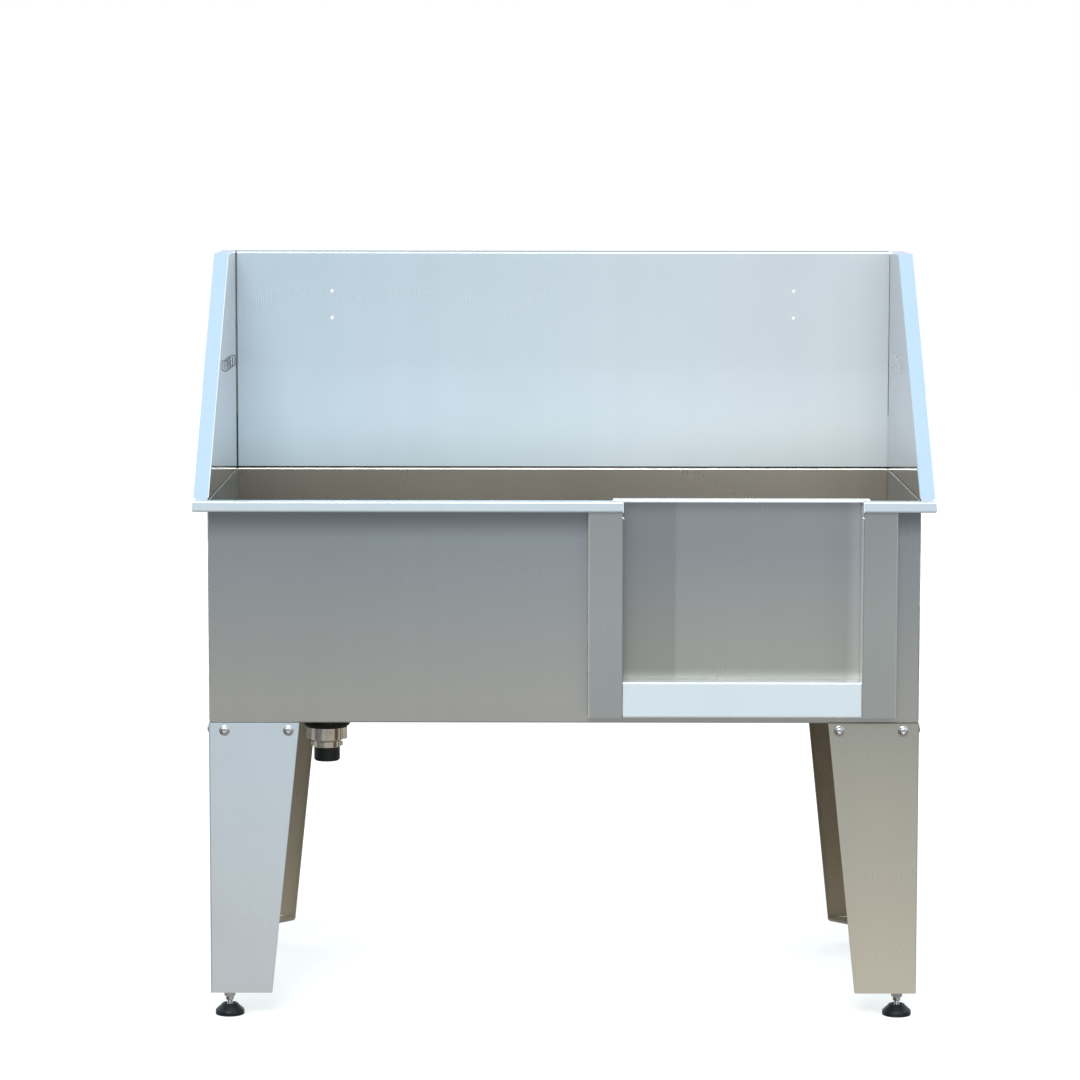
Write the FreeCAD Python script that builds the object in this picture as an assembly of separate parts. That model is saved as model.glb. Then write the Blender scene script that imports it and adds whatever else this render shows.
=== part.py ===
import FreeCAD, Part
import math
import os
from FreeCAD import Placement, Rotation, Vector

# Stainless steel pet grooming tub with a splash guard, a lift-up door and four levelling feet.
# Millimetres. +Z is up, +Y is towards the back, +X is to the right when facing the door.
# The origin is on the floor, under the centre of the tub.

# ---- driving dimensions -------------------------------------------------------------------
body_length = 1220.0
body_depth = 610.0
rim_overhang = 25.0
rim_z = 903.0
rim_face = 18.5
rim_lean = 1.2
rim_hem = 8.0
wall_bottom_z = 518.0
wall_flange = 25.0
sheet = 1.5
bend = 1.5

splash_top_z = 1308.0
splash_slope_top_y = 146.0
splash_flange_gap = 2.0
splash_seat_z = rim_z - 0.3
splash_back_hem = 10.0
splash_back_bend = 3.0
accessory_hole_x = 430.0
accessory_hole_z = (1184.0, 1234.0)
accessory_hole_radius = 3.25

loop_width = 4.0
loop_height = 20.0
loop_proud = 6.0
loop_z = 1110.0
loop_back_offsets = (105.0, 155.0, 205.0, 255.0)

pan_edge_z = 529.0
pan_low_z = 508.0
pan_flat = 130.0
drain_x = -417.5
drain_y = -140.0
well_depth = 6.0
well_radius = 50.0
well_floor_radius = 46.0
drain_hole_radius = 24.5

door_left = 101.0
door_right = 510.0
channel_width = 60.0
channel_proud = 18.0
channel_bottom_z = 529.5
channel_rim_gap = 0.5
frame_top_z = 892.5
sill_z = 591.0
sill_lean = 4.0
frame_flange_y = -280.0
frame_flange = 18.0
frame_flange_bottom_z = 573.5
seal_thickness = 2.5
seal_width = 13.5
door_gap = 0.3
door_floor_gap = 1.6
door_groove = 17.5
door_hem = 12.0
door_bottom_z = 573.1
door_top_z = 904.0
door_lip_reach = 20.0
door_lip_drop = 5.0
door_lip_inset = 4.0
guide_web_gap = 3.0
guide_foot = 15.0
guide_cover = 18.0
guide_top_z = 892.0
guide_rear_z = 588.0
guide_bottom_z = 552.0

leg_bottom_z = 44.0
leg_top_width = 156.0
leg_bottom_width = 106.0
leg_return = 12.0
bracket_sheet = 3.0
bracket_drop = 28.0
bracket_reach = 148.0
bracket_tab = 20.0
screw_insets = (27.5, 137.5)
screw_drop = 13.5
screw_radius = 4.0
screw_hole_radius = 4.3
screw_length = 16.5
screw_flange_radius = 9.0
screw_dome_radius = 7.4
screw_head_height = 4.4
screw_socket = 5.0
nut_across_flats = 13.0
nut_height = 6.8

foot_inset = 30.5
foot_plate = 4.0
foot_plate_tab = 20.0
stud_radius = 5.0
thread_gap = 0.05
stud_top_z = 95.0
foot_nut_across_flats = 17.0
weld_nut_height = 8.0
washer_radius = 10.0
washer_height = 2.0
locknut_height = 10.0
pad_radius = 25.0
pad_edge = 7.5
pad_height = 19.5
pad_neck_radius = 12.5
stud_seat_z = 8.7
stud_hex_across_flats = 13.0
stud_hex_z = (25.0, 30.5)

rail_xs = (240.0, 410.0)
rail_end_slope = 0.155
rail_end_setback = 12.0
rail_width = 40.0
rail_depth = 20.0
rail_flange = 18.0

drain_flange_radius = 43.0
drain_flange_height = 3.0
drain_recess_radius = 35.5
drain_tube_radius = 24.0
drain_bore_radius = 18.0
drain_neck_radius = 21.8
drain_neck_z = 461.0
drain_end_z = 454.0
gasket_radius = 41.5
gasket_waist_z = 493.0
gasket_foot_radius = 36.0
gasket_bottom_z = 485.5
locknut_radius = 29.0
locknut_lug_radius = 35.8
locknut_lug_width = 8.0
locknut_lug_z = 463.5
collar_top_z = 460.5
collar_bottom_z = 449.5
collar_radius = 24.5
collar_ear_radius = 27.8
tail_radius = 22.8
tail_bottom_z = 425.0
tail_chamfer = 2.5
strainer_radius = 35.0
strainer_sheet = 1.2
strainer_holes = ((10.0, 6, 2.2), (18.0, 10, 2.2), (27.0, 16, 2.2))

# ---- worked out from them -------------------------------------------------------------------
half_length = body_length / 2
half_depth = body_depth / 2
door_centre = (door_left + door_right) / 2
channel_face_y = -half_depth - channel_proud
channel_top_z = rim_z - rim_face - channel_rim_gap
door_face_y = frame_flange_y + seal_thickness + door_gap
door_back_y = door_face_y + 2 * sheet
guide_y = door_back_y + door_gap
panel_left = door_left - door_groove
panel_right = door_right + door_groove
well_z = pan_low_z - well_depth
locknut_bottom_z = leg_bottom_z - washer_height - locknut_height
leg_x = -half_length - sheet
leg_y = -half_depth - sheet

OUTWARD_X = Rotation(Vector(0, 1, 0), Vector(0, 0, 1), Vector(1, 0, 0), "ZXY")
OUTWARD_Y = Rotation(Vector(1, 0, 0), Vector(0, 0, 1), Vector(0, -1, 0), "ZXY")


# ---- building blocks ------------------------------------------------------------------------
def polygon(points):
    """Flat face through (u, v) points."""
    corners = [Vector(u, v, 0) for u, v in points]
    return Part.Face(Part.makePolygon(corners + corners[:1]))


def left_normal(start, end):
    direction = (end - start).normalize()
    return Vector(-direction.y, direction.x, 0)


def offset_line(points, distance):
    """The line through points, moved sideways to its left by distance, with sharp corners."""
    normals = [left_normal(a, b) for a, b in zip(points, points[1:])]
    moved = [points[0] + normals[0] * distance]
    for point, before, after in zip(points[1:], normals, normals[1:]):
        moved.append(point + (before + after) * (distance / (1 + before.dot(after))))
    moved.append(points[-1] + normals[-1] * distance)
    return moved


def rounded_line(points, radii):
    """Edges along points, each inner corner rounded to its radius."""
    edges = []
    start = points[0]
    for before, corner, after, radius in zip(points, points[1:], points[2:], radii):
        incoming = (corner - before).normalize()
        outgoing = (after - corner).normalize()
        turn = math.acos(max(-1.0, min(1.0, incoming.dot(outgoing))))
        setback = radius * math.tan(turn / 2)
        first = corner - incoming * setback
        last = corner + outgoing * setback
        inward = (outgoing - incoming).normalize()
        middle = corner + inward * (radius / math.cos(turn / 2) - radius)
        edges.append(Part.LineSegment(start, first).toShape())
        edges.append(Part.Arc(first, middle, last).toShape())
        start = last
    edges.append(Part.LineSegment(start, points[-1]).toShape())
    return edges


def folded_section(points, side, thickness=sheet, inner=bend):
    """Section of a folded sheet. The metal is on the left of the line for side 1, right for -1."""
    line = [Vector(u, v, 0) for u, v in points]
    back = offset_line(line, side * thickness)
    front_radii = []
    back_radii = []
    for a, b, c in zip(line, line[1:], line[2:]):
        turns_to_metal = (b - a).cross(c - b).z * side > 0
        front_radii.append(inner + thickness if turns_to_metal else inner)
        back_radii.append(inner if turns_to_metal else inner + thickness)
    edges = rounded_line(line, front_radii) + rounded_line(back, back_radii)
    edges.append(Part.LineSegment(line[0], back[0]).toShape())
    edges.append(Part.LineSegment(line[-1], back[-1]).toShape())
    return Part.Face(Part.Wire(Part.__sortEdges__(edges)))


def along_x(face, x0, x1):
    """Extrudes a (Y, Z) face from x0 to x1."""
    solid = face.extrude(Vector(0, 0, x1 - x0))
    solid.Placement = Placement(Vector(x0, 0, 0), OUTWARD_X)
    return solid


def along_y(face, y0, y1):
    """Extrudes an (X, Z) face from y0 to y1."""
    solid = face.extrude(Vector(0, 0, y1 - y0))
    solid.Placement = Placement(Vector(0, y1, 0), OUTWARD_Y)
    return solid


def along_z(face, z0, z1):
    """Extrudes an (X, Y) face from z0 to z1."""
    solid = face.extrude(Vector(0, 0, z1 - z0))
    solid.translate(Vector(0, 0, z0))
    return solid


def block(x0, x1, y0, y1, z0, z1):
    return Part.makeBox(x1 - x0, y1 - y0, z1 - z0, Vector(x0, y0, z0))


def cylinder_z(radius, z0, z1, x=0.0, y=0.0):
    return Part.makeCylinder(radius, z1 - z0, Vector(x, y, z0))


def turned(points):
    """Solid of revolution about Z from (radius, z) points."""
    corners = [Vector(radius, 0, z) for radius, z in points]
    face = Part.Face(Part.makePolygon(corners + corners[:1]))
    return face.revolve(Vector(0, 0, 0), Vector(0, 0, 1), 360)


def hexagon(across_flats, z0, z1, turn=0.0):
    radius = across_flats / math.sqrt(3)
    angles = [turn + math.radians(60 * step) for step in range(6)]
    return along_z(polygon([(radius * math.cos(a), radius * math.sin(a)) for a in angles]), z0, z1)


def flip_x(shape, x=0.0):
    return shape.mirror(Vector(x, 0, 0), Vector(1, 0, 0))


def flip_y(shape):
    return shape.mirror(Vector(0, 0, 0), Vector(0, 1, 0))


def save(name, shape):
    solids = shape.Solids
    for solid in solids:
        if not (solid.isValid() and solid.isClosed() and solid.Volume > 0):
            raise ValueError(name + " has a solid that isn't sound")
    result = solids[0] if len(solids) == 1 else Part.makeCompound(solids)
    result.exportStep("parts/" + name + ".step")
    print(name, len(solids), round(sum(solid.Volume for solid in solids)))


# ---- basin ----------------------------------------------------------------------------------
def mitre_prism(length, reach, outside, inside):
    """Prism whose 45 degree ends pass through the corners of a wall of this length."""
    outer = length / 2 + outside
    inner = length / 2 - inside
    corners = [(-outer, -reach - outside), (outer, -reach - outside),
               (inner, -reach + inside), (-inner, -reach + inside)]
    return along_z(polygon(corners), 0, splash_top_z + 100)


def tub_wall(length, reach):
    """Wall on the -Y side: bottom flange, wall, rim, rim face and hem, mitred at both ends."""
    inner_y = -reach + sheet
    rim_y = -reach - rim_overhang
    low_z = rim_z - rim_face
    line = [(-reach + wall_flange, wall_bottom_z + sheet), (inner_y, wall_bottom_z + sheet),
            (inner_y, rim_z), (rim_y + rim_lean, rim_z), (rim_y, low_z), (rim_y + rim_hem, low_z)]
    span = length / 2 + rim_overhang
    wall = along_x(folded_section(line, 1), -span, span)
    return wall.common(mitre_prism(length, reach, rim_overhang + 1, wall_flange + 1))


def turned_wall(length, reach, degrees):
    wall = tub_wall(length, reach)
    wall.rotate(Vector(0, 0, 0), Vector(0, 0, 1), degrees)
    return wall


def front_wall():
    """The front wall has a notch for the doorway, open at the top through the rim."""
    notch = block(door_left - sheet, door_right + sheet, -half_depth - 50, -half_depth + 50,
                  sill_z - sheet, rim_z + 10)
    return tub_wall(body_length, half_depth).cut(notch)


def rim_end_caps():
    """Plates that close the rim's hollow at both sides of the doorway."""
    rim_y = -half_depth - rim_overhang
    low_z = rim_z - rim_face
    inner_y = -half_depth + sheet
    top_z = rim_z - 0.2
    outline = polygon([(inner_y, low_z), (rim_y, low_z), (rim_y + rim_lean, top_z), (inner_y, top_z)])
    left = along_x(outline, door_left - sheet, door_left)
    return Part.makeCompound([left, flip_x(left, door_centre)])


def floor_pan():
    """Four creased facets fall to a flat at the drain, which is dished around the drain hole."""
    edge_x = half_length - sheet
    edge_y = half_depth - sheet
    half = pan_flat / 2
    outer = [(-edge_x, -edge_y), (edge_x, -edge_y), (edge_x, edge_y), (-edge_x, edge_y)]
    inner = [(drain_x - half, drain_y - half), (drain_x + half, drain_y - half),
             (drain_x + half, drain_y + half), (drain_x - half, drain_y + half)]
    faces = []
    for drop in (0.0, sheet):
        high = [Vector(x, y, pan_edge_z - drop) for x, y in outer]
        low = [Vector(x, y, pan_low_z - drop) for x, y in inner]
        faces.append(Part.Face(Part.makePolygon(low + low[:1])))
        for i in range(4):
            j = (i + 1) % 4
            faces.append(Part.Face(Part.makePolygon([high[i], high[j], low[j], low[i], high[i]])))
    for i in range(4):
        top = [Vector(*outer[i], pan_edge_z), Vector(*outer[(i + 1) % 4], pan_edge_z)]
        low = [point - Vector(0, 0, sheet) for point in top]
        faces.append(Part.Face(Part.makePolygon([top[0], top[1], low[1], low[0], top[0]])))
    pan = Part.Solid(Part.Shell(faces))
    if pan.Volume < 0:
        pan.reverse()
    hole = cylinder_z(well_radius, pan_low_z - 20, pan_low_z + 20, drain_x, drain_y)
    dish = turned([(well_radius, pan_low_z), (well_floor_radius, well_z), (drain_hole_radius, well_z),
                   (drain_hole_radius, well_z - sheet), (well_floor_radius + 0.6, well_z - sheet),
                   (well_radius, pan_low_z - sheet - 0.9)])
    dish.translate(Vector(drain_x, drain_y, 0))
    return pan.cut(hole).fuse(dish).removeSplitter()


def cross_rail(x):
    """Hat-shaped rail with tapered ends, from the front wall's bottom flange to the rear wall's."""
    half = rail_width / 2
    low = wall_bottom_z - rail_depth
    line = [(x - half - rail_flange, wall_bottom_z), (x - half, wall_bottom_z), (x - half, low),
            (x + half, low), (x + half, wall_bottom_z), (x + half + rail_flange, wall_bottom_z)]
    rail = along_y(folded_section(line, -1), -half_depth, half_depth)
    end_z = wall_bottom_z - rail_end_slope * half_depth
    taper = polygon([(-half_depth, wall_bottom_z), (-half_depth + rail_end_setback, wall_bottom_z),
                     (rail_end_setback, end_z), (-half_depth, end_z)])
    cutter = along_x(taper, x - half - 2 * rail_flange, x + half + 2 * rail_flange)
    return rail.cut(cutter).cut(flip_y(cutter))


# ---- splash guard -----------------------------------------------------------------------------
def splash_back():
    """Back panel with a top flange turned to the rear and four accessory holes."""
    face_y = half_depth - sheet
    rear_y = half_depth + rim_overhang
    line = [(face_y, splash_seat_z), (face_y, splash_top_z), (rear_y, splash_top_z),
            (rear_y, splash_top_z - splash_back_hem)]
    span = half_length + rim_overhang
    panel = along_x(folded_section(line, -1, inner=splash_back_bend), -span, span)
    prism = flip_y(mitre_prism(body_length, half_depth, rim_overhang + 1, 10))
    panel = panel.common(prism)
    for x in (-accessory_hole_x, accessory_hole_x):
        for z in accessory_hole_z:
            drill = Part.makeCylinder(accessory_hole_radius, 40, Vector(x, face_y - 20, z), Vector(0, 1, 0))
            panel = panel.cut(drill)
    return panel


def splash_left():
    """Side panel that narrows upwards, its sloped and top edges turned outwards as a flange."""
    front_y = -half_depth + sheet
    rear_y = half_depth + rim_overhang
    low_z = rim_z + splash_flange_gap
    path = [Vector(front_y, splash_seat_z, 0), Vector(splash_slope_top_y, splash_top_z, 0),
            Vector(rear_y, splash_top_z, 0)]
    inner_path = offset_line(path, -sheet)
    inner_face = -half_length + sheet
    outline = [(p.x, p.y) for p in path[:2]]
    outline += [(half_depth, splash_top_z), (half_depth, splash_seat_z)]
    panel = along_x(polygon(outline), -half_length, inner_face)
    band = [(p.x, p.y) for p in path] + [(p.x, p.y) for p in reversed(inner_path)]
    flange = along_x(polygon(band), -half_length - rim_overhang, inner_face)
    flange = flange.cut(block(-half_length - 60, -half_length, -half_depth - 60, half_depth, 0, low_z))
    side = panel.fuse(flange).removeSplitter()
    side = rounded_fold(side, inner_face, path)
    corner = mitre_prism(body_depth, half_length, rim_overhang + 1, 10)
    corner.rotate(Vector(0, 0, 0), Vector(0, 0, 1), -90)
    return side.common(corner)


def rounded_fold(side, inner_face, path):
    """Rounds the visible fold between the panel and its flange."""
    fold = []
    for edge in side.Edges:
        ends = [vertex.Point for vertex in edge.Vertexes]
        if len(ends) < 2 or any(abs(p.x - inner_face) > 1e-6 for p in ends):
            continue
        if any(min(abs(distance_to_line(p, a, b)) for a, b in zip(path, path[1:])) > 1e-6 for p in ends):
            continue
        if edge.Length > 50:
            fold.append(edge)
    return side.makeFillet(sheet * 0.9, fold)


def distance_to_line(point, start, end):
    """Distance in the side view of a point from the line through start and end."""
    return left_normal(start, end).dot(Vector(point.y, point.z, 0) - start)


def tether_loop(y):
    """Upright strap loop standing proud of the left side panel's inner face."""
    foot = -half_length + sheet
    proud = foot + loop_proud
    low = loop_z - loop_height / 2
    high = loop_z + loop_height / 2
    line = [(foot, low), (proud, low), (proud, high), (foot, high)]
    return along_y(folded_section(line, 1), y - loop_width / 2, y + loop_width / 2)


def tether_loops():
    return Part.makeCompound([tether_loop(half_depth - offset) for offset in loop_back_offsets])


# ---- doorway ------------------------------------------------------------------------------------
def door_channel():
    """Box upright at the left of the doorway, whose rear flange carries the seal."""
    outer_x = door_left - channel_width
    line = [(outer_x, -half_depth), (outer_x, channel_face_y), (door_left, channel_face_y),
            (door_left, frame_flange_y), (door_left - frame_flange, frame_flange_y)]
    channel = along_z(folded_section(line, 1), channel_bottom_z, frame_top_z)
    inner_y = -half_depth + sheet
    far = door_left + 10
    near = outer_x - 10
    channel = channel.cut(block(near, far, channel_face_y - 10, inner_y, channel_top_z, frame_top_z + 10))
    channel = channel.cut(block(near, far, -half_depth, inner_y, 0, sill_z - sheet))
    channel = channel.cut(block(near, far, -half_depth, 0, 0, frame_flange_bottom_z))
    closure = block(outer_x + sheet, door_left - sheet, channel_face_y + sheet, -half_depth,
                    channel_bottom_z, channel_bottom_z + sheet)
    return channel.fuse(closure).removeSplitter()


def door_sill():
    """Threshold between the uprights; its rear edge turns down in front of the door."""
    line = [(-half_depth, channel_bottom_z), (channel_face_y, channel_bottom_z),
            (channel_face_y + sill_lean, sill_z), (frame_flange_y, sill_z),
            (frame_flange_y, frame_flange_bottom_z)]
    sill = along_x(folded_section(line, -1), door_left, door_right)
    return sill


def door_seal():
    """U-shaped rubber strip on the rear of the frame's flanges, against the door's front."""
    outer = door_left - frame_flange + 1
    y1 = frame_flange_y + seal_thickness
    bottom = frame_flange_bottom_z
    width = 2 * (door_centre - outer)
    full = block(outer, outer + width, frame_flange_y, y1, bottom, guide_top_z)
    opening = block(outer + seal_width, outer + width - seal_width, frame_flange_y - 1, y1 + 1,
                    bottom + seal_width, guide_top_z + 1)
    return full.cut(opening)


def door_guide():
    """Z-shaped guide behind the door's left edge, welded to the inside of the front wall."""
    web_x = panel_left - guide_web_gap
    inner_y = -half_depth + sheet
    line = [(web_x - guide_foot, inner_y), (web_x, inner_y), (web_x, guide_y), (web_x + guide_cover, guide_y)]
    return along_z(folded_section(line, 1), guide_rear_z, guide_top_z)


def door_guide_bottom():
    """Trough that carries the door's lower edge, between the two side guides."""
    inner_y = -half_depth + sheet
    floor_z = door_bottom_z - door_floor_gap
    line = [(inner_y, guide_bottom_z), (inner_y, floor_z), (guide_y, floor_z), (guide_y, guide_rear_z)]
    return along_x(folded_section(line, -1), panel_left - guide_web_gap, panel_right + guide_web_gap)


def door_panel():
    """Flat sheet door with hemmed sides."""
    sheet_top = door_top_z - sheet - bend
    panel = block(panel_left, panel_right, door_face_y, door_face_y + sheet, door_bottom_z, sheet_top)
    hem_y = door_face_y + sheet
    hem_top = door_top_z - 18
    hem = block(panel_left, panel_left + door_hem, hem_y, door_back_y, door_bottom_z, hem_top)
    return panel.fuse([hem, flip_x(hem, door_centre)]).removeSplitter()


def door_lip():
    """Pull lip along the door's top edge, folded forwards and down, with a lap welded behind the door."""
    back_y = door_face_y + sheet
    front_y = door_face_y - door_lip_reach
    line = [(back_y + sheet, door_top_z - 14), (back_y + sheet, door_top_z), (front_y, door_top_z),
            (front_y, door_top_z - door_lip_drop)]
    return along_x(folded_section(line, 1), panel_left, panel_right - door_lip_inset)


# ---- legs, built at the front left corner -------------------------------------------------------
def leg():
    """Tapered angle leg of folded sheet, with a return along each tapered edge."""
    line = [(leg_x + leg_top_width, leg_y), (leg_x, leg_y), (leg_x, leg_y + leg_top_width)]
    angle = along_z(folded_section(line, -1), leg_bottom_z, wall_bottom_z)
    top_x = leg_x + leg_top_width
    low_x = leg_x + leg_bottom_width
    waste = polygon([(top_x, wall_bottom_z), (top_x + 1, wall_bottom_z), (top_x + 1, leg_bottom_z),
                     (low_x, leg_bottom_z)])
    strip = polygon([(top_x, wall_bottom_z), (low_x, leg_bottom_z), (low_x - sheet, leg_bottom_z),
                     (top_x - sheet, wall_bottom_z)])
    inner_y = leg_y + sheet
    front_waste = along_y(waste, leg_y - 1, inner_y + 1)
    front_return = along_y(strip, leg_y, inner_y + leg_return)
    angle = angle.cut(front_waste).cut(swap_xy(front_waste))
    angle = angle.fuse([front_return, swap_xy(front_return)]).removeSplitter()
    for inset in screw_insets:
        start = Vector(leg_x + inset, leg_y - 5, screw_z())
        drill = Part.makeCylinder(screw_hole_radius, 10, start, Vector(0, 1, 0))
        angle = angle.cut(drill).cut(swap_xy(drill))
    return angle


def swap_xy(shape):
    """Mirrors a front face feature of the leg onto its side face."""
    return shape.mirror(Vector(leg_x, leg_y, 0), Vector(1, -1, 0))


def screw_z():
    return wall_bottom_z - screw_drop


def leg_bracket():
    """Corner bracket under the tub that the leg is screwed to."""
    x = -half_length
    y = -half_depth
    line = [(x + bracket_reach, y), (x, y), (x, y + bracket_reach)]
    skirt = along_z(folded_section(line, -1, bracket_sheet), wall_bottom_z - bracket_drop, wall_bottom_z)
    notch = bracket_sheet + bend
    inner = bracket_sheet
    tab = bracket_tab
    plate = polygon([(x + notch, y + inner), (x + bracket_reach, y + inner), (x + bracket_reach, y + tab),
                     (x + 2 * tab, y + tab), (x + tab, y + 2 * tab), (x + tab, y + bracket_reach),
                     (x + inner, y + bracket_reach), (x + inner, y + notch)])
    bracket = skirt.fuse(along_z(plate, wall_bottom_z - bracket_sheet, wall_bottom_z)).removeSplitter()
    for inset in screw_insets:
        start = Vector(leg_x + inset, leg_y - 5, screw_z())
        drill = Part.makeCylinder(screw_hole_radius, 20, start, Vector(0, 1, 0))
        bracket = bracket.cut(drill).cut(swap_xy(drill))
    return bracket


def button_screw():
    """Flanged button head screw along +Z, its head below Z = 0."""
    head = turned([(0, 0), (screw_flange_radius, 0), (screw_flange_radius, -0.9), (screw_dome_radius, -1.4),
                   (screw_dome_radius * 0.92, -2.6), (screw_dome_radius * 0.68, -3.8),
                   (screw_dome_radius * 0.5, -screw_head_height), (0, -screw_head_height)])
    screw = head.fuse(cylinder_z(screw_radius, -0.5, screw_length))
    return screw.cut(hexagon(screw_socket, -screw_head_height - 1, -screw_head_height + 2.6)).removeSplitter()


def hex_nut(across_flats, bore, z0, z1, turn=0.0):
    """Plain hexagon nut with chamfered corners."""
    corner = across_flats / math.sqrt(3)
    inside = across_flats / 2
    slope = (corner - inside) * 0.6
    blank = turned([(0, z0), (inside, z0), (corner, z0 + slope), (corner, z1 - slope), (inside, z1), (0, z1)])
    return hexagon(across_flats, z0, z1, turn).common(blank).cut(cylinder_z(bore, z0 - 1, z1 + 1))


def placed_on_leg(make, depth):
    """The four copies of a fastener on one leg: two on its front face, two on its side face."""
    copies = []
    for inset in screw_insets:
        piece = make()
        piece.rotate(Vector(0, 0, 0), Vector(1, 0, 0), -90)
        piece.translate(Vector(leg_x + inset, leg_y + depth, screw_z()))
        copies += [piece, swap_xy(piece)]
    return Part.makeCompound(copies)


def leg_screws():
    return placed_on_leg(button_screw, 0.0)


def leg_nuts():
    depth = sheet + bracket_sheet
    return placed_on_leg(lambda: hex_nut(nut_across_flats, screw_radius + thread_gap, 0, nut_height), depth)


def foot_plate_piece():
    """Plate across the bottom of the leg, drilled for the levelling stud."""
    x = -half_length
    y = -half_depth
    far = leg_bottom_width - 2 * sheet - 0.1
    plate = polygon([(x + 3, y), (x + far, y), (x + far, y + foot_plate_tab), (x + foot_plate_tab, y + far),
                     (x, y + far), (x, y + 3)])
    solid = along_z(plate, leg_bottom_z, leg_bottom_z + foot_plate)
    return solid.cut(at_foot(cylinder_z(stud_radius + 0.5, 0, 100)))


def at_foot(shape):
    return shape.translated(Vector(leg_x + foot_inset, leg_y + foot_inset, 0))


def foot_weld_nut():
    top = leg_bottom_z + foot_plate
    return at_foot(hex_nut(foot_nut_across_flats, stud_radius + thread_gap, top, top + weld_nut_height))


def foot_washer():
    ring = cylinder_z(washer_radius, leg_bottom_z - washer_height, leg_bottom_z)
    return at_foot(ring.cut(cylinder_z(stud_radius + 0.3, 0, 100)))


def foot_locknut():
    top = leg_bottom_z - washer_height
    bore = stud_radius + thread_gap
    return at_foot(hex_nut(foot_nut_across_flats, bore, locknut_bottom_z, top, math.radians(12)))


def foot_stud():
    """Threaded stud with a hexagon for the wrench, its lower end seated in the pad."""
    base = stud_seat_z + door_gap
    tip = 1.0
    stud = turned([(0, base), (stud_radius, base), (stud_radius, stud_top_z - tip),
                   (stud_radius - tip, stud_top_z), (0, stud_top_z)])
    low, high = stud_hex_z
    flare = turned([(0, low), (stud_radius + 0.5, low), (stud_hex_across_flats, low + 6),
                    (stud_hex_across_flats, high), (0, high)])
    collar = hexagon(stud_hex_across_flats, low, high, math.radians(20)).common(flare)
    return at_foot(stud.fuse(collar).removeSplitter())


def foot_pad():
    """Domed pad with an upright edge and a socket for the stud."""
    bore = stud_radius + thread_gap
    pad = turned([(0, 0), (pad_radius - 1, 0), (pad_radius, 1.2), (pad_radius, pad_edge),
                  (pad_radius - 1.2, pad_edge + 1.8), (pad_neck_radius + 1, pad_height - 1.5),
                  (pad_neck_radius, pad_height), (bore, pad_height), (bore, stud_seat_z), (0, stud_seat_z)])
    return at_foot(pad)


# ---- drain, built on the Z axis -----------------------------------------------------------------
def at_drain(shape):
    return shape.translated(Vector(drain_x, drain_y, 0))


def drain_body():
    """Flanged waste: flange in the pan's dish with a recess for the strainer, and a threaded tube below."""
    top = well_z + drain_flange_height
    recess = top - 1.5
    return at_drain(turned([
        (drain_recess_radius, top), (drain_flange_radius - 1.5, top), (drain_flange_radius, well_z + 0.6),
        (drain_flange_radius, well_z), (drain_tube_radius, well_z), (drain_tube_radius, drain_neck_z),
        (drain_neck_radius, drain_neck_z), (drain_neck_radius, drain_end_z), (drain_bore_radius, drain_end_z),
        (drain_bore_radius, recess), (drain_recess_radius, recess)]))


def drain_gasket():
    bore = drain_tube_radius + 0.1
    top = well_z - sheet
    return at_drain(turned([
        (bore, top), (gasket_radius, top), (gasket_radius, gasket_waist_z),
        (gasket_radius - 1.5, gasket_waist_z - 4), (gasket_foot_radius + 1.5, gasket_bottom_z + 2),
        (gasket_foot_radius, gasket_bottom_z), (bore, gasket_bottom_z)]))


def drain_locknut():
    """Round locknut with four upright lugs for a wrench."""
    bore = drain_tube_radius + 0.1
    nut = turned([
        (bore, gasket_bottom_z), (locknut_radius, gasket_bottom_z), (locknut_radius, drain_neck_z + 3),
        (locknut_radius - 1, drain_neck_z + 1), (locknut_radius - 3, drain_neck_z), (bore, drain_neck_z)])
    half = locknut_lug_width / 2
    outer = locknut_lug_radius
    section = polygon([(bore + 2, gasket_bottom_z), (outer, gasket_bottom_z), (outer, locknut_lug_z + 1.5),
                       (outer - 1.5, locknut_lug_z), (bore + 2, locknut_lug_z)])
    lugs = []
    for quarter in range(4):
        lug = along_y(section, -half, half)
        lug.rotate(Vector(0, 0, 0), Vector(0, 0, 1), 90 * quarter - 4)
        lugs.append(lug)
    return at_drain(nut.fuse(lugs).removeSplitter())


def drain_collar():
    """Ring that holds the tailpiece to the waste, with four small ears."""
    bore = drain_neck_radius + 0.05
    ring = turned([
        (bore, collar_top_z), (collar_radius - 0.8, collar_top_z), (collar_radius, collar_top_z - 0.8),
        (collar_radius, collar_bottom_z + 0.8), (collar_radius - 0.8, collar_bottom_z),
        (bore, collar_bottom_z)])
    middle = (collar_top_z + collar_bottom_z) / 2
    ears = []
    for quarter in range(4):
        root = collar_radius - 1.5
        ear = Part.makeCylinder(3.6, collar_ear_radius - root, Vector(root, 0, middle), Vector(1, 0, 0))
        ear.rotate(Vector(0, 0, 0), Vector(0, 0, 1), 90 * quarter)
        ears.append(ear)
    return at_drain(ring.fuse(ears).removeSplitter())


def drain_tailpiece():
    """Black plastic tailpiece with a neck inside the collar."""
    top = drain_end_z
    low = tail_bottom_z
    return at_drain(turned([
        (drain_bore_radius, top), (drain_neck_radius, top), (drain_neck_radius, collar_bottom_z),
        (tail_radius, collar_bottom_z), (tail_radius, low + tail_chamfer),
        (tail_radius - tail_chamfer, low), (drain_bore_radius, low)]))


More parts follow.
